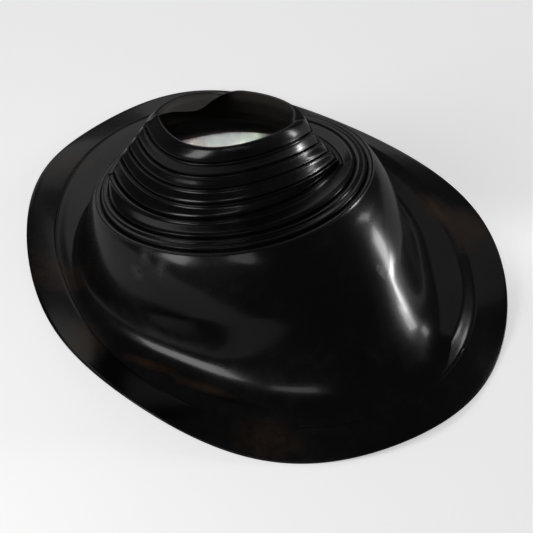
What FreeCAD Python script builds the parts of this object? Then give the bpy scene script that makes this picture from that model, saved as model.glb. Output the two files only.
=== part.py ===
import FreeCAD, Part
import math
import os
from FreeCAD import Vector

# Pipe flashing boot for a sloping roof: one moulded rubber skin that runs from a wavy oval
# flange over a bulging dome to a stepped collar, its upper steps squashed by handling.
# Millimetres.  X is the line of the roof slope (+X is the long, downhill side), Z is up,
# the flange stands on z = 0 and the flange's own centre is the origin.

os.makedirs("parts", exist_ok=True)

# ---- skin -------------------------------------------------------------------------------
WALL = 3.0             # rubber thickness everywhere

# ---- flange -----------------------------------------------------------------------------
FLANGE_LENGTH = 690.0  # along X
FLANGE_WIDTH = 559.0   # along Y
FLANGE_EGG = 0.03      # the downhill end is this much fuller
RIM_WIDTH = 37.5       # flat band round the edge
FOLD_HEIGHT = 18.0     # upper side of the fold where the band meets the inner flange
FOLD_LIFT_DOWNHILL = 1.5   # the fold is this much higher at +X and lower at -X
FOLD_LIFT_SIDE = 5.3       # and this much higher at +Y and lower at -Y
FOLD_DIP = (30.0, 28.0, 5.0)   # the fold sags here: direction, half spread, depth
STEP_WIDTH = 21.0      # soft step up from the fold to the inner flange
STEP_RISE = (1.0, 4.8) # its least height, and how much higher it is at its highest
STEP_TURN = 10.0       # direction of the highest step, degrees from X
STEP_ROWS = (0.3, 0.6, 0.9)   # where the step's rings lie across its width
# lifts of the edge for one to six waves round the flange, as (cosine, sine) heights
EDGE_WAVES = ((-2.4, -2.1), (-3.0, 2.4), (-3.0, 0.6), (-1.0, -2.1), (5.7, 1.3), (1.1, -2.1))

# ---- dome -------------------------------------------------------------------------------
FOOT_CENTRE = (14.5, -15.5)
FOOT_HALF_LENGTH = 246.0
FOOT_HALF_WIDTH = 203.5
FOOT_LOBES = (0.019, 0.019)   # threefold swell of the foot, cosine and sine parts
FOOT_LEVEL = 27.0             # level the foot's oval is drawn for
FOOT_LIFT_SIDE = 2.65         # that level is this much higher at +Y and lower at -Y
FOOT_SLIDE = (-0.83, 0.56)    # shift of the oval for each mm the foot lies below that level
# places where handling has drawn the foot in: direction, half spread, depth
FOOT_DENTS = ((-60.0, 26.0, 26.0), (-26.0, 24.0, 16.0), (44.0, 27.0, 25.0))
# reach of the hollow fillet out over the flange and up the dome: least, how much more where it
# is longest, direction of the longest, how quickly it falls off
FILLET_OUT = (14.0, 42.0, -10.0, 3.0)
FILLET_UP = (14.0, 66.0, 0.0, 1.5)
FILLET_ROWS = (0.0, 0.25, 0.5, 0.75, 1.0)
# share of the way out and share of the height, from the collar down to the foot
PROFILE_DOWNHILL = ((0.0, 1.0), (0.14, 0.92), (0.28, 0.81), (0.42, 0.68), (0.56, 0.535),
                    (0.70, 0.37), (0.85, 0.19), (1.0, 0.0))
PROFILE_SIDE = ((0.0, 1.0), (0.16, 0.93), (0.34, 0.80), (0.50, 0.63), (0.64, 0.455),
                (0.76, 0.30), (0.88, 0.15), (1.0, 0.0))
PROFILE_UPHILL = ((0.0, 1.0), (0.20, 0.90), (0.38, 0.75), (0.52, 0.585), (0.65, 0.42),
                  (0.77, 0.27), (0.885, 0.133), (1.0, 0.0))
DOME_ROWS = (0.82, 0.64, 0.46, 0.28, 0.12)   # rings up the dome, as shares of its wall

# ---- collar -----------------------------------------------------------------------------
BASE_CENTRE = (-23.6, -20.3, 128.0)
BASE_RADIUS = 169.0
LEAN = 12.5            # the collar axis leans uphill by this many degrees
PINCH_DIRECTION = 56.0 # the squashed steps are long in this direction, degrees from X
SEAT = 5.0             # round land inside the base ring
LEAD_IN = 1.0          # bevel below the land
# steps from the base up: half length, half width, height on the axis, shift along the pinch,
# droop of the far end, sharpness of the pinched ends, tread below the step
STEPS = (
    (157.0, 150.0, 5.0, -2.0, 0.0, 0.10, 8.0),
    (141.5, 119.0, 12.0, -9.0, 9.0, 0.65, 8.0),
    (131.0, 104.0, 24.0, -2.0, 17.0, 0.75, 4.0),
    (120.5, 90.0, 36.0, 0.0, 18.0, 0.75, 3.0),
    (109.0, 83.5, 49.5, 1.0, 18.5, 0.65, 3.0),
    (99.5, 80.0, 64.5, 3.0, 16.5, 0.50, 3.0),
    (86.5, 71.0, 80.5, 7.0, 14.0, 0.65, 3.0),
)
BACK_SHARP = 0.3       # the back half of a step is sharpened by this share of the front
TWIST = 0.6            # front of each step twists by this share of its droop
HOLLOW_DROP = 1.8      # hollow side of a step lies this much lower than its outer side
LIP_ROLL = (80.0, 190.0)   # part of the lip that has rolled in, degrees from the pinch
LIP_FLOP = (24.0, 13.0)    # the rolled edge lies this much further in and lower
LIP_CREST = (0.55, 0.90)   # share of the lip band below its bend, unrolled and fully rolled
LIP_FOLD = 13.0        # rubber closed up in the far corner of the lip

POINTS = 60            # points round every ring

lean = math.radians(LEAN)
pinch = math.radians(PINCH_DIRECTION)
AXIS = Vector(-math.sin(lean), 0, math.cos(lean))
ALONG = Vector(math.cos(lean), 0, math.sin(lean))
ACROSS = Vector(0, 1, 0)
CENTRE = Vector(*BASE_CENTRE)


def angles():
    """Angles round the ring, started on the pinch so both pinched corners fall on a point."""
    return [pinch + 2 * math.pi * i / POINTS for i in range(POINTS)]


def edge_lift(t):
    return sum(c * math.cos((n + 1) * t) + s * math.sin((n + 1) * t)
               for n, (c, s) in enumerate(EDGE_WAVES))


LOWEST_LIFT = min(edge_lift(math.radians(degree)) for degree in range(360))


def edge_height(t):
    """Height of the flange's upper edge; its lowest point rests on the ground."""
    return edge_lift(t) - LOWEST_LIFT + WALL


def oval(t, inset, z):
    """Point of the flange outline drawn in by inset."""
    x = (FLANGE_LENGTH / 2 - inset) * math.cos(t)
    y = (FLANGE_WIDTH / 2 - inset) * math.sin(t) * (1 + FLANGE_EGG * math.cos(t))
    return Vector(x, y, z)


def hump(t, direction, spread, depth):
    """Depth of a soft local hump or dent, one of its spreads away it has fallen to a third."""
    off = (math.degrees(t) - direction + 180) % 360 - 180
    return depth * math.exp(-(off / spread) ** 2)


def fold_height(t):
    return (FOLD_HEIGHT + FOLD_LIFT_DOWNHILL * math.cos(t) + FOLD_LIFT_SIDE * math.sin(t)
            - hump(t, *FOLD_DIP))


def rim_point(t, share):
    """Flat band: share 0 at the edge, 1 at the fold."""
    z = edge_height(t) * (1 - share) + fold_height(t) * share
    return oval(t, RIM_WIDTH * share, z)


def step_rise(t):
    high = (0.5 + 0.5 * math.cos(t - math.radians(STEP_TURN))) ** 2
    return STEP_RISE[0] + STEP_RISE[1] * high + hump(t, *FOLD_DIP)


def foot_point(t, drawn=1.0):
    """Corner under the hollow fillet, where the dome's wall would meet the flange."""
    swell = 1 + FOOT_LOBES[0] * math.cos(3 * t) + FOOT_LOBES[1] * math.sin(3 * t)
    way = Vector(FOOT_HALF_LENGTH * math.cos(t), FOOT_HALF_WIDTH * math.sin(t), 0) * swell
    way *= 1 - sum(hump(t, *dent) for dent in FOOT_DENTS) * drawn / way.Length
    level = fold_height(t) + step_rise(t)
    sunk = FOOT_LEVEL + FOOT_LIFT_SIDE * math.sin(t) - level
    return Vector(FOOT_CENTRE[0] + FOOT_SLIDE[0] * sunk, FOOT_CENTRE[1] + FOOT_SLIDE[1] * sunk,
                  level) + way


def flat_distance(a, b):
    return math.hypot(a.x - b.x, a.y - b.y)


def inner_flange_point(t, share):
    """Between the rim's fold (share 0) and the corner under the dome (share 1)."""
    a, b = rim_point(t, 1.0), foot_point(t)
    p = a + (b - a) * share
    up = min(flat_distance(p, a) / STEP_WIDTH, 1.0)
    return Vector(p.x, p.y, a.z + (b.z - a.z) * up * up * (3 - 2 * up))


def fillet_reach(t, sizes):
    least, more, direction, power = sizes
    return least + more * (0.5 + 0.5 * math.cos(t - math.radians(direction))) ** power


def step_point(t, half_length, half_width, height, shift=0.0, droop=0.0, sharp=0.0):
    """Point of a collar ring; th turns from the far pinched corner."""
    th = t - pinch
    sn, cs = math.sin(th), math.cos(th)
    k = sharp if sn < 0 else BACK_SHARP * sharp
    lens = abs(sn) / math.sqrt(sn * sn + k * k + 1e-9) * math.sqrt(1 + k * k)
    p = half_length * cs + shift
    r = half_width * sn * lens
    twist = -TWIST * droop * math.sin(2 * th) if sn < 0 else 0.0
    u = p * math.cos(pinch) - r * math.sin(pinch)
    v = p * math.sin(pinch) + r * math.cos(pinch)
    return CENTRE + ALONG * u + ACROSS * v + AXIS * (height - droop * cs + twist)


def base_point(t, radius, height):
    return CENTRE + ALONG * (radius * math.cos(t)) + ACROSS * (radius * math.sin(t)) + AXIS * height


def along_profile(profile, f):
    """Smooth curve through a profile's points, f from 0 to 1."""
    x = min(f, 1.0) * (len(profile) - 1)
    i = min(int(x), len(profile) - 2)
    u = x - i
    p1, p2 = profile[i], profile[i + 1]
    p0 = profile[i - 1] if i else [2 * a - b for a, b in zip(p1, p2)]
    p3 = profile[i + 2] if i + 2 < len(profile) else [2 * b - a for a, b in zip(p1, p2)]
    return [0.5 * (2 * b + (c - a) * u + (2 * a - 5 * b + 4 * c - d) * u ** 2
                   + (3 * b - a - 3 * c + d) * u ** 3) for a, b, c, d in zip(p0, p1, p2, p3)]


def dome_point(t, f):
    """Dome's wall: f 0 at the collar's base ring, 1 at the corner under the fillet."""
    down, up = max(math.cos(t), 0.0), max(-math.cos(t), 0.0)
    mixes = ((down, PROFILE_DOWNHILL), (1 - down - up, PROFILE_SIDE), (up, PROFILE_UPHILL))
    out, high = (sum(w * along_profile(prof, f)[k] for w, prof in mixes) for k in (0, 1))
    a, b = base_point(t, BASE_RADIUS, 0.0), foot_point(t, f * f)
    p = a + (b - a) * out
    return Vector(p.x, p.y, b.z + (a.z - b.z) * high)


def fillet_foot(t):
    """Share of the inner flange where the fillet starts."""
    width = flat_distance(foot_point(t), rim_point(t, 1.0))
    return max(1 - fillet_reach(t, FILLET_OUT) / width, 0.1)


def fillet_head(t):
    """Share of the dome's fall where the fillet ends."""
    fall = (base_point(t, BASE_RADIUS, 0.0) - foot_point(t)).Length
    return 1 - fillet_reach(t, FILLET_UP) / fall


def fillet_point(t, u):
    start, end = inner_flange_point(t, fillet_foot(t)), dome_point(t, fillet_head(t))
    return start * (1 - u) ** 2 + foot_point(t) * (2 * u * (1 - u)) + end * u ** 2


def step_row_point(t, share):
    """Rings over the step, drawn closer where the fillet starts inside it."""
    width = flat_distance(foot_point(t), rim_point(t, 1.0))
    start = fillet_foot(t)
    return inner_flange_point(t, min(share * STEP_WIDTH / width, start * share))


def skirt_rows():
    """Upper side of flange and dome, from the edge in to the base ring."""
    ts = angles()
    rows = [[rim_point(t, s) for t in ts] for s in (0.0, 1.0)]
    for share in STEP_ROWS:
        rows.append([step_row_point(t, share) for t in ts])
    for u in FILLET_ROWS:
        rows.append([fillet_point(t, u) for t in ts])
    for share in DOME_ROWS:
        rows.append([dome_point(t, fillet_head(t) * share) for t in ts])
    rows.append([base_point(t, BASE_RADIUS, 0.0) for t in ts])
    return rows


def underside(rows):
    """The same rows moved one wall thickness into the hollow side."""
    result = []
    for j, row in enumerate(rows[:-1]):
        inner = []
        before, after = rows[max(j - 1, 0)], rows[j + 1]
        for i, p in enumerate(row):
            inward = after[i] - before[i]
            turn = row[(i + 1) % POINTS] - row[i - 1]
            normal = turn.cross(inward)
            normal.normalize()
            if normal.z < 0:
                normal = normal * -1
            if j == 0:
                normal = Vector(0, 0, 1)
            inner.append(p - normal * WALL)
        result.append(inner)
    return result


def lip_roll(th):
    """1 where the uphill part of the lip is rolled in, 0 elsewhere."""
    start, end = LIP_ROLL
    share = (math.degrees(th) % 360 - start) / (end - start)
    return math.sin(math.pi * share) ** 2 if 0 < share < 1 else 0.0


def collar_rows(inset):
    """Rings of the collar from the base ring to just below the lip."""
    ts = angles()
    drop = HOLLOW_DROP if inset > 0 else 0.0
    rows = []
    below = (BASE_RADIUS, BASE_RADIUS, 0.0, 0.0, 0.0, 0.0)
    for step in STEPS:
        tread = step[6]
        half_l, half_w, height, shift, droop, sharp = below
        rows.append([step_point(t, half_l - tread - inset, half_w - tread - inset,
                                height - drop, shift, droop, sharp) for t in ts])
        if step is STEPS[-1]:
            break
        half_l, half_w, height, shift, droop, sharp = step[:6]
        rows.append([step_point(t, half_l - inset, half_w - inset,
                                height - drop, shift, droop, sharp) for t in ts])
        below = step[:6]
    return rows


def lip_rows(inset):
    """Crest of the roll and the free edge of the lip."""
    crest, edge = [], []
    low, top = STEPS[-2], STEPS[-1]
    for t in angles():
        th = t - pinch
        roll = lip_roll(th)
        share = LIP_CREST[0] + (LIP_CREST[1] - LIP_CREST[0]) * roll
        mid = [a + (b - a) * share for a, b in zip(low[:6], top[:6])]
        fold = LIP_FOLD * max(math.cos(th), 0.0) ** 12 if inset > 0 else 0.0
        crest.append(step_point(t, mid[0] - inset - fold, mid[1] - inset, *mid[2:]))
        out, down = LIP_FLOP[0] * roll, LIP_FLOP[1] * roll
        edge.append(step_point(t, top[0] - inset - out - fold, top[1] - inset - out,
                               top[2] - down, *top[3:6]))
    return [crest, edge]


def ring_edge(points):
    curve = Part.BSplineCurve()
    curve.interpolate(Points=points, PeriodicFlag=True,
                      Parameters=[float(i) for i in range(len(points) + 1)])
    return curve.toShape()


def band(low, high):
    return Part.makeRuledSurface(low, high)


def smooth_skin(rows):
    """One smooth periodic surface through every row of points."""
    curves = [ring_edge(r).Curve for r in rows]
    stops = [0.0]
    for a, b in zip(rows[:-1], rows[1:]):
        stops.append(stops[-1] + sum(p.distanceToPoint(q) for p, q in zip(a, b)) / len(a))
    columns = []
    for poles in zip(*[c.getPoles() for c in curves]):
        column = Part.BSplineCurve()
        column.interpolate(Points=list(poles), Parameters=stops)
        columns.append(column)
    skin = Part.BSplineSurface()
    around, up = curves[0], columns[0]
    skin.buildFromPolesMultsKnots([c.getPoles() for c in columns], around.getMultiplicities(),
                                  up.getMultiplicities(), around.getKnots(), up.getKnots(),
                                  True, False, around.Degree, up.Degree)
    return skin.toShape()


def round_edge(radius, height):
    """True circle about the collar axis, started on the pinch."""
    turn = FreeCAD.Rotation(ALONG, ACROSS, AXIS, "ZXY")
    turn = turn.multiply(FreeCAD.Rotation(Vector(0, 0, 1), PINCH_DIRECTION))
    edge = Part.makeCircle(radius)
    edge.Placement = FreeCAD.Placement(base_point(0.0, 0.0, height), turn)
    return edge


# ---- outer side, hollow side, then the two joined at the flange's edge and at the lip ------
skirt = skirt_rows()
hollow = underside(skirt)
bore, seat_top, seat_foot = BASE_RADIUS - WALL, -WALL, -WALL - SEAT
hollow.append([base_point(t, bore + LEAD_IN, seat_foot - LEAD_IN) for t in angles()])

faces = [smooth_skin(skirt[1:]), smooth_skin(hollow[1:])]
loop = [skirt[-1]] + collar_rows(0.0) + lip_rows(0.0)
loop += lip_rows(WALL)[::-1] + collar_rows(WALL)[::-1]
edges = [ring_edge(row) for row in loop] + [round_edge(bore, seat_top)]
faces += [band(a, b) for a, b in zip(edges[:-1], edges[1:])]
faces += [round_edge(bore, seat_foot).extrude(AXIS * SEAT),
          band(round_edge(bore, seat_foot), ring_edge(hollow[-1]))]
edges = [ring_edge(row) for row in (skirt[1], skirt[0], hollow[0], hollow[1])]
faces += [band(a, b) for a, b in zip(edges[:-1], edges[1:])]

shell = Part.makeShell(faces)
shell.sewShape()
solid = Part.makeSolid(Part.Shell(shell.Faces))
if solid.Volume < 0:
    solid.reverse()

if __name__ == "__main__":
    print("valid", solid.isValid(), "closed", solid.isClosed(), "faces", len(solid.Faces))
    print("litres", round(solid.Volume / 1e6, 3), "box", solid.BoundBox)
    solid.exportStep("parts/flashing_boot.step")
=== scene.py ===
import math
from collections import namedtuple
from functools import partial

import bmesh
import bpy
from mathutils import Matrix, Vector


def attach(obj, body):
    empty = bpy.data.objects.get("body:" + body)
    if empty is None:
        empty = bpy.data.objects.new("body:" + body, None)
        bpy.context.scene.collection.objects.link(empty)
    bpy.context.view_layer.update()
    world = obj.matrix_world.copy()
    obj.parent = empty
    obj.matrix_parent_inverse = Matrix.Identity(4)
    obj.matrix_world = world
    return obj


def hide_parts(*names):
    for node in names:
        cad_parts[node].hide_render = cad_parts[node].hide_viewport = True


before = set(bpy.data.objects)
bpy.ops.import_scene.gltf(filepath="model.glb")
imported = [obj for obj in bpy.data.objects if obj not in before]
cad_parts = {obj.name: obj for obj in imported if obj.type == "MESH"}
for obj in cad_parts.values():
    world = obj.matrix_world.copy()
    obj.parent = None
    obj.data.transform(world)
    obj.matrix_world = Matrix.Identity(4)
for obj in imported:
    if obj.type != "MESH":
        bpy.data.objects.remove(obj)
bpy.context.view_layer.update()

# ---- Flashing boot --------------------------------------------------------------------------
# The boot is one moulding of black EPDM rubber, all of one thickness.  Its flange seals to a
# sloping roof, its dome stands over the hole, and its stepped collar grips a pipe.

# Sizes are in millimetres.  +X is down the roof, and t is the turn round the boot from +X.
MM = 0.001
WALL = 3.0

# The flange is a thin oval apron with a flat rim band, a fold, and a soft step up inside it.
# Storage has left its edge wavy: the pairs are the cosine and sine lifts of one to six waves.
LENGTH = 690.0
WIDTH = 559.0
FULLER_DOWNHILL = 0.03
EDGE_WAVES = ((-2.4, -2.1), (-3.0, 2.4), (-3.0, 0.6), (-1.0, -2.1), (5.7, 1.3), (1.1, -2.1))
RIM_WIDTH = 37.5
FOLD_HEIGHT = 18.0
FOLD_LIFT_DOWNHILL = 1.5
FOLD_LIFT_SIDE = 5.3
FOLD_DIP = (30.0, 28.0, 5.0)  # direction and spread in degrees, depth
STEP_WIDTH = 21.0
STEP_LEAST = 1.0
STEP_MORE = 4.8
STEP_TURN = math.radians(10)
CREASE_HALF_WIDTH = 1.1
CREASE_DEPTH = 1.4


def edge_lift(t):
    return sum(c * math.cos(n * t) + s * math.sin(n * t)
               for n, (c, s) in enumerate(EDGE_WAVES, 1))


LOWEST_LIFT = min(edge_lift(math.radians(degree)) for degree in range(360))


def facing(t, turn):
    """1 on the side of the boot that faces turn, 0 on the opposite side."""
    return 0.5 + 0.5 * math.cos(t - turn)


def hump(t, direction, spread, depth):
    """Soft local rise or dent; one spread away it has fallen to about a third."""
    off = (math.degrees(t) - direction + 180) % 360 - 180
    return depth * math.exp(-(off / spread) ** 2)


def oval(t, inset, z):
    """Point of the flange's outline, drawn in by inset."""
    x = (LENGTH / 2 - inset) * math.cos(t)
    y = (WIDTH / 2 - inset) * math.sin(t) * (1 + FULLER_DOWNHILL * math.cos(t))
    return Vector((x, y, z))


def fold_height(t):
    lift = FOLD_LIFT_DOWNHILL * math.cos(t) + FOLD_LIFT_SIDE * math.sin(t)
    return FOLD_HEIGHT + lift - hump(t, *FOLD_DIP)


def rim_point(t, share):
    """Flat rim band: share 0 at the edge, 1 at the fold."""
    edge = edge_lift(t) - LOWEST_LIFT + WALL
    return oval(t, RIM_WIDTH * share, edge + (fold_height(t) - edge) * share)


def edge_point(t, inset, drop):
    """Point of the cut edge, drawn in by inset and lowered by drop."""
    return oval(t, inset, rim_point(t, 0.0).z - drop)


def step_rise(t):
    return STEP_LEAST + STEP_MORE * facing(t, STEP_TURN) ** 2 + hump(t, *FOLD_DIP)


# The dome is blown out below the collar and is longest down the roof.  Its foot is an oval
# with a threefold swell, and handling has drawn it in at three places.
FOOT_CENTRE = (14.5, -15.5)
FOOT_HALF_LENGTH = 246.0
FOOT_HALF_WIDTH = 203.5
FOOT_SWELL = (0.019, 0.019)
FOOT_LEVEL = 27.0
FOOT_LIFT_SIDE = 2.65
FOOT_SLIDE = (-0.83, 0.56)  # shift of the oval for each millimetre it lies below its level
FOOT_DENTS = ((-60.0, 26.0, 26.0), (-26.0, 24.0, 16.0), (44.0, 27.0, 25.0))  # as FOLD_DIP
# Reach of the hollow fillet: least, how much more where it is longest, that direction in
# degrees, and how quickly it falls off.
FILLET_OUT = (14.0, 42.0, -10.0, 3.0)
FILLET_UP = (14.0, 66.0, 0.0, 1.5)
LEAST_APRON = 0.1  # share of the inner flange that the fillet always leaves
# Share of the way out and share of the height, from the collar down to the foot.
DOWNHILL = ((0.0, 1.0), (0.14, 0.92), (0.28, 0.81), (0.42, 0.68), (0.56, 0.535), (0.70, 0.37),
            (0.85, 0.19), (1.0, 0.0))
SIDE = ((0.0, 1.0), (0.16, 0.93), (0.34, 0.80), (0.50, 0.63), (0.64, 0.455), (0.76, 0.30),
        (0.88, 0.15), (1.0, 0.0))
UPHILL = ((0.0, 1.0), (0.20, 0.90), (0.38, 0.75), (0.52, 0.585), (0.65, 0.42), (0.77, 0.27),
          (0.885, 0.133), (1.0, 0.0))
BASE_CENTRE = Vector((-23.6, -20.3, 128.0))
BASE_RADIUS = 169.0
LEAN = math.radians(12.5)
AXIS = Vector((-math.sin(LEAN), 0, math.cos(LEAN)))
ALONG = Vector((math.cos(LEAN), 0, math.sin(LEAN)))
ACROSS = Vector((0, 1, 0))


def corner_point(t, fall=1.0):
    """Where the dome's wall would meet the flange if there were no fillet.  The dents fade
    with fall, which is 1 at the foot and 0 at the collar."""
    swell = 1 + FOOT_SWELL[0] * math.cos(3 * t) + FOOT_SWELL[1] * math.sin(3 * t)
    reach = Vector((FOOT_HALF_LENGTH * math.cos(t), FOOT_HALF_WIDTH * math.sin(t), 0)) * swell
    drawn_in = sum(hump(t, *dent) for dent in FOOT_DENTS) * fall ** 2
    reach *= 1 - drawn_in / reach.length
    z = fold_height(t) + step_rise(t)
    sunk = FOOT_LEVEL + FOOT_LIFT_SIDE * math.sin(t) - z
    x, y = (centre + slide * sunk for centre, slide in zip(FOOT_CENTRE, FOOT_SLIDE))
    return Vector((x, y, z)) + reach


def base_ring_point(t):
    """Top of the dome, where the collar's base ring stands."""
    return BASE_CENTRE + (ALONG * math.cos(t) + ACROSS * math.sin(t)) * BASE_RADIUS


def along_profile(profile, f):
    """Smooth curve through a profile's points, f from 0 at its first to 1 at its last."""
    x = min(f, 1.0) * (len(profile) - 1)
    i = min(int(x), len(profile) - 2)
    u = x - i
    p1, p2 = profile[i], profile[i + 1]
    p0 = profile[i - 1] if i else [2 * a - b for a, b in zip(p1, p2)]
    p3 = profile[i + 2] if i + 2 < len(profile) else [2 * b - a for a, b in zip(p1, p2)]
    return [0.5 * (2 * b + (c - a) * u + (2 * a - 5 * b + 4 * c - d) * u ** 2
                   + (3 * b - a - 3 * c + d) * u ** 3) for a, b, c, d in zip(p0, p1, p2, p3)]


def dome_point(t, fall):
    """Dome without its fillet: fall 0 at the base ring, 1 at the corner with the flange."""
    down = max(math.cos(t), 0.0)
    up = max(-math.cos(t), 0.0)
    mixes = ((down, DOWNHILL), (1 - down - up, SIDE), (up, UPHILL))
    out, high = (sum(weight * along_profile(profile, fall)[k] for weight, profile in mixes)
                 for k in (0, 1))
    top, corner = base_ring_point(t), corner_point(t, fall)
    point = top + (corner - top) * out
    point.z = corner.z + (top.z - corner.z) * high
    return point


def inner_width(t):
    """Width of the inner flange, from the fold to the corner under the dome."""
    return (corner_point(t) - rim_point(t, 1.0)).xy.length


def fillet_reach(t, least, more, turn, power):
    return least + more * facing(t, math.radians(turn)) ** power


def fillet_foot(t):
    """Share of the inner flange where the fillet starts."""
    return max(1 - fillet_reach(t, *FILLET_OUT) / inner_width(t), LEAST_APRON)


def fillet_head(t):
    """Share of the dome's fall where the fillet ends."""
    slope = (base_ring_point(t) - corner_point(t)).length
    return 1 - fillet_reach(t, *FILLET_UP) / slope


def flange_point(t, share):
    """Inner flange: share 0 at the fold, 1 at the corner under the dome."""
    fold, corner = rim_point(t, 1.0), corner_point(t)
    point = fold + (corner - fold) * share
    u = min((point - fold).xy.length / STEP_WIDTH, 1.0)
    point.z = fold.z + (corner.z - fold.z) * u * u * (3 - 2 * u)
    return point


def apron_point(t, share):
    """Inner flange that is left outside the fillet: share 0 at the fold, 1 at the fillet."""
    return flange_point(t, fillet_foot(t) * share)


def fillet_point(t, share):
    """Hollow fillet: share 0 on the flange, 1 on the dome's wall."""
    start, end = flange_point(t, fillet_foot(t)), dome_point(t, fillet_head(t))
    return (start * (1 - share) ** 2 + corner_point(t) * (2 * share * (1 - share))
            + end * share ** 2)


def wall_point(t, share):
    """Dome above the fillet: share 0 at the fillet, 1 at the base ring."""
    return dome_point(t, fillet_head(t) * (1 - share))


def crease_point(t):
    """Bottom of the crease in the fold, which is deepest where the step is lowest."""
    return rim_point(t, 1.0) - Vector((0, 0, CREASE_DEPTH * (1 - facing(t, STEP_TURN)) ** 2))


def crease_shoulder(t):
    """Inner shoulder of the crease."""
    return flange_point(t, CREASE_HALF_WIDTH / inner_width(t))


# The collar is seven stepped bands, each one the seat for a smaller pipe.  Handling has
# squashed the upper bands into a lens with two pinched ends, and rolled part of the lip in.
PINCH = math.radians(56.0)
# Height is on the axis, shift is along the pinch, droop is how far one pinched end hangs and
# the other stands up, sharp is how far the ends are pinched, and tread is how far the next
# band stands in.
Step = namedtuple("Step", "half_length half_width height shift droop sharp tread")
STEPS = (
    Step(169.0, 169.0, 0.0, 0.0, 0.0, 0.0, 8.0),
    Step(157.0, 150.0, 5.0, -2.0, 0.0, 0.10, 8.0),
    Step(141.5, 119.0, 12.0, -9.0, 9.0, 0.65, 8.0),
    Step(131.0, 104.0, 24.0, -2.0, 17.0, 0.75, 4.0),
    Step(120.5, 90.0, 36.0, 0.0, 18.0, 0.75, 3.5),
    Step(109.0, 83.5, 49.5, 1.0, 18.5, 0.65, 3.5),
    Step(99.5, 80.0, 64.5, 3.0, 16.5, 0.50, 3.5),
    Step(86.5, 71.0, 80.5, 7.0, 14.0, 0.65, 0.0),
)
BACK_SHARP = 0.3  # the back half is sharpened by this share of the front
TWIST = 0.6  # the front twists by this share of the droop
TINY = 1e-9  # keeps an unpinched ring from dividing by nothing
LIP_ROLL = (80.0, 190.0)  # rolled part of the lip, degrees from the pinch
LIP_FLOP_IN = 24.0
LIP_FLOP_DOWN = 13.0
LIP_CREST = (0.55, 0.90)  # where the lip band bends, as it was and where it is fully rolled
LIP_FOLD = 13.0  # rubber closed up in one corner of the lip's hollow side
LIP_FOLD_POWER = 12
LIP_ROUNDING = 0.6

# Corners of a step, as out from its ring and up along the axis.  The groove and the bead at
# the foot of the next band are out from that band's wall.
NOSE_FRONT = ((0.25, -1.6), (0.5, -0.9), (0.55, -0.3))
NOSE_TOP = ((0.3, 0.2), (-0.2, 0.5), (-0.9, 0.6))
GROOVE = ((2.0, 0.5), (1.6, 0.1), (1.2, -1.3), (0.5, -1.3), (0.15, 0.2))
BEAD = ((0.35, 1.0), (0.5, 1.6), (0.45, 2.2), (0.2, 2.8), (0.1, 3.4))
BAND_HEAD = (0.1, -1.9)


def step_point(t, step, out=0.0, up=0.0):
    """Point of a step's ring, moved out from the axis and up along it."""
    turn = t - PINCH
    sine, cosine = math.sin(turn), math.cos(turn)
    in_front = sine < 0
    sharp = step.sharp if in_front else BACK_SHARP * step.sharp
    lens = abs(sine) / math.sqrt(sine ** 2 + sharp ** 2 + TINY) * math.sqrt(1 + sharp ** 2)
    with_pinch = (step.half_length + out) * cosine + step.shift
    off_pinch = (step.half_width + out) * sine * lens
    twist = -TWIST * step.droop * math.sin(2 * turn) if in_front else 0.0
    height = step.height + up - step.droop * cosine + twist
    along = with_pinch * math.cos(PINCH) - off_pinch * math.sin(PINCH)
    across = with_pinch * math.sin(PINCH) + off_pinch * math.cos(PINCH)
    return BASE_CENTRE + ALONG * along + ACROSS * across + AXIS * height


def band_wall(t, low, high, share):
    """Wall of a band: share 0 on the bead at its foot, 1 under the next step's nose."""
    out, up = BEAD[-1]
    foot = step_point(t, low, out - low.tread, up)
    return foot + (step_point(t, high, *BAND_HEAD) - foot) * share


def lip_roll(t):
    """How far the lip has rolled in, 0 to 1."""
    start, end = LIP_ROLL
    angle = math.degrees(t - PINCH) % 360
    if not start < angle < end:
        return 0.0
    return math.sin(math.pi * (angle - start) / (end - start)) ** 2


def lip_crest(t, inset):
    """Bend in the lip band, above which it has flopped in."""
    low, high = LIP_CREST
    f = low + (high - low) * lip_roll(t)
    bend = Step(*(a + (b - a) * f for a, b in zip(STEPS[-2], STEPS[-1])))
    return step_point(t, bend, -inset)


def lip_edge(t, inset):
    """Cut edge of the lip."""
    roll = lip_roll(t)
    fold = LIP_FOLD * max(math.cos(t - PINCH), 0.0) ** LIP_FOLD_POWER if inset else 0.0
    top = STEPS[-1]
    rolled = top._replace(half_length=top.half_length - (LIP_FLOP_IN * roll + fold),
                          half_width=top.half_width - LIP_FLOP_IN * roll,
                          height=top.height - LIP_FLOP_DOWN * roll)
    return step_point(t, rolled, -inset)


def lip_wall(t, inset, share):
    """Lip band above its bend: share 0 at the bend, 1 at the cut edge."""
    return lip_edge(t, inset) * share + lip_crest(t, inset) * (1 - share)


# The skin is laid in rows, each a function of t.  They run from the flange's cut edge over the
# outer side to the lip, then down the hollow side and back to the flange's edge.
EDGE_ROUNDING = ((0.0, 2.2), (0.0, 0.8), (0.25, 0.25), (0.8, 0.0))  # inset and drop
RIM_ROWS = 10
APRON_ROWS = 16
FILLET_ROWS = 14
DOME_ROWS = 32
BAND_ROWS = (0.3, 0.6, 0.82)
LIP_ROWS = (0.0, 0.5, 0.97)
LIP_HOLLOW_ROWS = (0.95, 0.5, 0.0)
HOLLOW_EVERY = 3  # the hollow side of flange and dome needs only every third row
HOLLOW_DROP = 0.6 * WALL  # the hollow side of a step lies this much lower
HOLLOW_INSET = 0.8
SMALL_TURN = 0.004


def even_rows(point, count):
    """Evenly spaced rows of one stretch, without its near end."""
    return [partial(point, share=i / count) for i in range(1, count + 1)]


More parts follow.
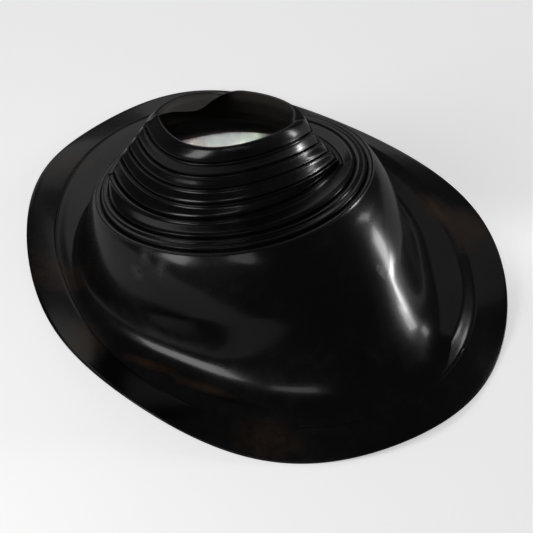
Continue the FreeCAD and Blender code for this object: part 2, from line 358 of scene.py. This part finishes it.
def hollow_point(t, below, row, above):
    """Hollow side of a row, one wall thickness in."""
    round_boot = row(t + SMALL_TURN) - row(t - SMALL_TURN)
    normal = round_boot.cross(above(t) - below(t)).normalized()
    if normal.z < 0:
        normal = -normal
    return row(t) - normal * WALL


skirt = even_rows(rim_point, RIM_ROWS)[:-1]
skirt.append(partial(rim_point, share=1 - CREASE_HALF_WIDTH / RIM_WIDTH))
skirt += [crease_point, crease_shoulder]
skirt += even_rows(apron_point, APRON_ROWS)
skirt += even_rows(fillet_point, FILLET_ROWS)
skirt += even_rows(wall_point, DOME_ROWS)

outer_rows = [partial(edge_point, inset=inset, drop=drop) for inset, drop in EDGE_ROUNDING]
outer_rows += skirt
for low, high in zip(STEPS[:-1], STEPS[1:]):
    section = NOSE_TOP if low is STEPS[0] else NOSE_FRONT + NOSE_TOP
    section += tuple((out - low.tread, up) for out, up in GROOVE + BEAD)
    outer_rows += [partial(step_point, step=low, out=out, up=up) for out, up in section]
    if high is not STEPS[-1]:
        outer_rows += [partial(band_wall, low=low, high=high, share=f) for f in BAND_ROWS]
outer_rows += [partial(lip_wall, inset=0.0, share=f) for f in LIP_ROWS]
outer_rows.append(partial(lip_edge, inset=LIP_ROUNDING))

hollow_rows = [partial(lip_edge, inset=WALL - LIP_ROUNDING)]
hollow_rows += [partial(lip_wall, inset=WALL, share=f) for f in LIP_HOLLOW_ROWS]
for step in STEPS[-2::-1]:
    for out in (-step.tread - WALL, -WALL):
        hollow_rows.append(partial(step_point, step=step, out=out, up=-HOLLOW_DROP))
for i in range(len(skirt) - HOLLOW_EVERY, 0, -HOLLOW_EVERY):
    hollow_rows.append(partial(hollow_point, below=skirt[i - 1], row=skirt[i],
                               above=skirt[i + 1]))
hollow_rows.append(partial(edge_point, inset=HOLLOW_INSET, drop=WALL))

# One ring of points starts on the flange's edge and is extruded from row to row.
AROUND = 384
skin = bmesh.new()
around = skin.verts.layers.int.new("around")
hollow = skin.verts.layers.float.new("hollow")
ring = bmesh.ops.create_circle(skin, segments=AROUND, radius=LENGTH / 2 * MM)["verts"]
for i, vert in enumerate(ring):
    vert[around] = i


def lay(ring, row):
    """Put the points of a ring on a row, started on the pinch so that its ends stay sharp."""
    for vert in ring:
        vert.co = row(PINCH + 2 * math.pi * vert[around] / AROUND) * MM


def laying_order(face):
    """One number for a face, from its two oldest points and its newest."""
    oldest, older, _, newest = sorted(vert.index for vert in face.verts)
    return (oldest * len(skin.verts) + older) * len(skin.verts) + newest


lay(ring, outer_rows[0])
first_loop = loop = list(skin.edges)
for number, row in enumerate(outer_rows[1:] + hollow_rows, 1):
    made = bmesh.ops.extrude_edge_only(skin, edges=loop)["geom"]
    loop = [edge for edge in made
            if isinstance(edge, bmesh.types.BMEdge) and len(edge.link_faces) == 1]
    ring = {vert for edge in loop for vert in edge.verts}
    lay(ring, row)
    for vert in ring:
        vert[hollow] = float(number >= len(outer_rows))
bmesh.ops.bridge_loops(skin, edges=first_loop + loop)
bmesh.ops.recalc_face_normals(skin, faces=skin.faces)
skin.verts.index_update()
skin.faces.sort(key=laying_order)  # the operators leave them in another order on each run
for face in skin.faces:
    face.smooth = True
boot_mesh = bpy.data.meshes.new("flashing_boot_skin")
skin.to_mesh(boot_mesh)
skin.free()
boot = bpy.data.objects.new("flashing_boot_skin", boot_mesh)
bpy.context.collection.objects.link(boot)

# The rubber is black with a thin waxy gloss, and its surface is a little uneven.
RUBBER = (0.0032, 0.0032, 0.0034, 1)
# Brown tint: on the rim it is a painted reflection of the room.
BROWN_TINT = (0.030, 0.0165, 0.0085, 1)
GREY_DUST = (0.028, 0.028, 0.029, 1)
MOULD_POWDER = (0.055, 0.049, 0.042, 1)
rubber = bpy.data.materials.new("black_rubber")
rubber.use_nodes = True
nodes, links = rubber.node_tree.nodes, rubber.node_tree.links
shader = nodes["Principled BSDF"]
shader.inputs["Specular IOR Level"].default_value = 0.18
shader.inputs["Coat Weight"].default_value = 0.18


def node(kind, **values):
    """New node with its sockets or settings given by name."""
    made = nodes.new(kind)
    for name, value in values.items():
        if name in made.inputs:
            made.inputs[name].default_value = value
        else:
            setattr(made, name, value)
    return made


def feed(socket, value):
    """Link a socket to another node's output, or give it a plain value."""
    if isinstance(value, bpy.types.NodeSocket):
        links.new(value, socket)
    else:
        socket.default_value = value


def combine(operation, first, second):
    made = node("ShaderNodeMath", operation=operation)
    feed(made.inputs[0], first)
    feed(made.inputs[1], second)
    return made.outputs["Value"]


def coat_over(under, over, cover):
    """Colour of one layer over another where cover is high."""
    made = node("ShaderNodeMix", data_type="RGBA")
    feed(made.inputs["A"], under)
    feed(made.inputs["B"], over)
    feed(made.inputs["Factor"], cover)
    return made.outputs["Result"]


def stretch(value, low, high, to_low=0.0, to_high=1.0):
    """Stretch a value from low..high to to_low..to_high."""
    made = node("ShaderNodeMapRange")
    for name, limit in (("From Min", low), ("From Max", high), ("To Min", to_low),
                        ("To Max", to_high)):
        made.inputs[name].default_value = limit
    links.new(value, made.inputs["Value"])
    return made.outputs["Result"]


on_boot = node("ShaderNodeTexCoord").outputs["Object"]


def mottle(scale, detail, roughness=0.6):
    made = node("ShaderNodeTexNoise", Scale=scale, Detail=detail, Roughness=roughness)
    links.new(on_boot, made.inputs["Vector"])
    return made.outputs["Fac"]


def patch(centre, turn, size):
    """Soft round patch about a place on the boot, in metres and degrees."""
    placed = node("ShaderNodeMapping", vector_type="TEXTURE", Location=centre,
                  Rotation=(0, 0, math.radians(turn)), Scale=size)
    links.new(on_boot, placed.inputs["Vector"])
    ball = node("ShaderNodeTexGradient", gradient_type="SPHERICAL")
    links.new(placed.outputs["Vector"], ball.inputs["Vector"])
    return ball.outputs["Fac"]


def patches(places):
    total = patch(*places[0])
    for place in places[1:]:
        total = combine("ADD", total, patch(*place))
    return total


cloud = mottle(14.0, 7.0, 0.65)
speck = mottle(75.0, 4.0, 0.7)

# Brown is painted into the colour: painted reflections of the room on the rim, two thin lines on
# the inner flange and a patch on the uphill side of the collar.
BROWN_TINT_PLACES = (
    ((-0.279, -0.126, 0.016), 60, (0.05, 0.035, 0.05)),
    ((-0.114, -0.236, 0.013), 20, (0.07, 0.03, 0.05)),
    ((0.012, -0.262, 0.015), 0, (0.05, 0.03, 0.05)),
    ((0.256, -0.162, 0.011), 40, (0.05, 0.03, 0.05)),
    ((0.130, 0.237, 0.023), -20, (0.06, 0.03, 0.05)),
    ((0.067, 0.222, 0.026), 0, (0.06, 0.025, 0.05)),
    ((0.092, -0.213, 0.016), 30, (0.05, 0.008, 0.03)),
    ((0.155, -0.183, 0.018), 32, (0.05, 0.008, 0.03)),
    ((-0.101, 0.015, 0.178), 30, (0.03, 0.05, 0.02)),
)
brown_tint = combine("MULTIPLY", patches(BROWN_TINT_PLACES), stretch(cloud, 0.35, 0.62))
# Handling has left smears and a scuff on the dome, and dust lies thinly all over.
SMEAR_PLACES = (
    ((0.040, -0.180, 0.135), -20, (0.012, 0.010, 0.022)),
    ((0.066, -0.174, 0.128), 0, (0.010, 0.010, 0.026)),
    ((0.036, -0.192, 0.109), 0, (0.014, 0.012, 0.012)),
    ((0.192, 0.041, 0.108), 20, (0.010, 0.008, 0.014)),
)
smear = combine("MULTIPLY", patches(SMEAR_PLACES), stretch(speck, 0.35, 0.6))
dust = combine("MULTIPLY", stretch(cloud, 0.47, 0.72), stretch(speck, 0.3, 0.65))
grey = combine("ADD", combine("MULTIPLY", dust, 0.28), combine("MULTIPLY", smear, 1.6))
# The hollow side keeps a dull film of the powder that parts it from the mould.
powder = node("ShaderNodeAttribute", attribute_name="hollow").outputs["Fac"]

# The brown tint is painted in here; on the rim it stands in for reflections of the room.
colour = coat_over(RUBBER, BROWN_TINT, stretch(brown_tint, 0.02, 0.7))
colour = coat_over(colour, GREY_DUST, grey)
colour = coat_over(colour, MOULD_POWDER, powder)
links.new(colour, shader.inputs["Base Color"])
dull = combine("ADD", combine("MULTIPLY", brown_tint, 0.15), combine("MULTIPLY", smear, 0.3))
dull = combine("ADD", dull, combine("MULTIPLY", powder, 0.25))
links.new(combine("ADD", stretch(cloud, 0.3, 0.7, 0.18, 0.31), dull), shader.inputs["Roughness"])
gloss = stretch(speck, 0.3, 0.7, 0.08, 0.16)
links.new(combine("ADD", gloss, dull), shader.inputs["Coat Roughness"])
skin_bump = node("ShaderNodeBump", Strength=0.12, Distance=0.0012)
unevenness = combine("ADD", mottle(30.0, 3.0), combine("MULTIPLY", speck, 0.12))
links.new(unevenness, skin_bump.inputs["Height"])
links.new(skin_bump.outputs["Normal"], shader.inputs["Normal"])
boot_mesh.materials.append(rubber)

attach(boot, "root")
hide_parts("flashing_boot")

# ---- Floor ----------------------------------------------------------------------------------
# A plain pale floor, half a millimetre under the boot; it isn't part of the boot.  Clear of
# the boot it glows for the camera only, so that it reads near white and the shadow stays.
FLOOR_HALF = 20.0
FLOOR_GAP = 0.0005
FLOOR_GLOW = 0.52
GLOW_FROM = 0.27  # metres from the boot's middle
sheet = bmesh.new()
bmesh.ops.create_grid(sheet, x_segments=1, y_segments=1, size=FLOOR_HALF)
bmesh.ops.translate(sheet, vec=(0, 0, -FLOOR_GAP), verts=sheet.verts)
floor_mesh = bpy.data.meshes.new("floor")
sheet.to_mesh(floor_mesh)
sheet.free()
floor = bpy.data.objects.new("floor", floor_mesh)
bpy.context.collection.objects.link(floor)
pale = bpy.data.materials.new("pale_floor")
pale.use_nodes = True
nodes, links = pale.node_tree.nodes, pale.node_tree.links  # node() and combine() now work here
paint = nodes["Principled BSDF"]
paint.inputs["Base Color"].default_value = (0.8, 0.8, 0.8, 1)
paint.inputs["Roughness"].default_value = 0.9
paint.inputs["Specular IOR Level"].default_value = 0.1
paint.inputs["Emission Color"].default_value = (1, 1, 1, 1)
from_middle = node("ShaderNodeVectorMath", operation="LENGTH")
links.new(node("ShaderNodeTexCoord").outputs["Object"], from_middle.inputs[0])
outside = combine("GREATER_THAN", from_middle.outputs["Value"], GLOW_FROM)
for_camera = combine("MULTIPLY", outside, node("ShaderNodeLightPath").outputs["Is Camera Ray"])
links.new(combine("MULTIPLY", for_camera, FLOOR_GLOW), paint.inputs["Emission Strength"])
floor_mesh.materials.append(pale)

# ---- Camera ---------------------------------------------------------------------------------
# A long lens about 1.7 m away, half-way up.  It looks at the boot from down the roof and from
# its near side.
CAMERA_TURN = 56.0  # degrees from -Y towards +X
CAMERA_RISE = 45.0
CAMERA_DISTANCE = 1.7007
CAMERA_FIELD = 22.0  # degrees
CAMERA_SHIFT = 0.0178
CAMERA_AIM = Vector((0.0446, -0.0182, 0.013))


def direction(turn, rise):
    """Way out from the boot, turned from the camera's side to its right and raised, degrees."""
    a, e = math.radians(CAMERA_TURN + turn), math.radians(rise)
    return Vector((math.sin(a) * math.cos(e), -math.cos(a) * math.cos(e), math.sin(e)))


def stand(thing, aim, toward, distance):
    """Put a lamp or camera out from its aim and point it back there."""
    thing.location = aim + toward * distance
    thing.rotation_euler = toward.to_track_quat("Z", "Y").to_euler()
    bpy.context.collection.objects.link(thing)


lens = bpy.data.cameras.new("camera")
lens.angle = math.radians(CAMERA_FIELD)
lens.shift_y = CAMERA_SHIFT
camera = bpy.data.objects.new("camera", lens)
stand(camera, CAMERA_AIM, direction(0.0, CAMERA_RISE), CAMERA_DISTANCE)
bpy.context.scene.camera = camera
bpy.context.scene.view_settings.view_transform = "Standard"

# ---- Light ----------------------------------------------------------------------------------
# Soft studio light: a soft box and a small overhead one on the camera's left, two tall strips
# and a small one near the floor on its right, and two dim cards behind.
LAMP_AIM = Vector((0, 0, 0.08))
WORLD_STRENGTH = 0.06
# name, turn, rise, distance, width, height, radiance, spread in degrees
LAMPS = (
    ("soft_box", -56, 30, 1.7, 0.6, 0.75, 8.0, 180),
    ("overhead", -14, 53, 1.7, 0.6, 0.3, 3.0, 180),
    ("strip_foot", 94, -3, 0.63, 0.09, 0.08, 6.0, 40),
    ("strip_low", 104, 8, 3.4, 0.44, 0.9, 19.0, 180),
    ("strip_high", 111, 25, 3.4, 0.32, 0.7, 11.0, 180),
    ("back_card", 150, 42, 1.6, 0.9, 0.5, 0.3, 180),
    ("card", -165, 30, 1.5, 0.7, 0.7, 0.8, 180),
)
world = bpy.data.worlds.new("studio")
bpy.context.scene.world = world
world.use_nodes = True
sky = world.node_tree.nodes["Background"]
sky.inputs["Color"].default_value = (1, 1, 1, 1)
sky.inputs["Strength"].default_value = WORLD_STRENGTH


def hang_lamp(name, aim, toward, distance, width, height, watts, spread):
    lamp = bpy.data.lights.new(name, "AREA")
    lamp.shape = "RECTANGLE"
    lamp.size, lamp.size_y = width, height
    lamp.energy = watts
    lamp.spread = math.radians(spread)
    stand(bpy.data.objects.new(name, lamp), aim, toward, distance)


for name, turn, rise, distance, width, height, radiance, spread in LAMPS:
    watts = radiance * math.pi * width * height
    hang_lamp(name, LAMP_AIM, direction(turn, rise), distance, width, height, watts, spread)

# A narrow beam comes in over the lip and lands on the floor inside the boot.
BEAM_AIM = Vector((-0.221, 0.091, 0.0))
BEAM_RISE = 41
hang_lamp("beam", BEAM_AIM, direction(0, BEAM_RISE), distance=1.2, width=0.2, height=0.03,
          watts=0.02, spread=1.5)
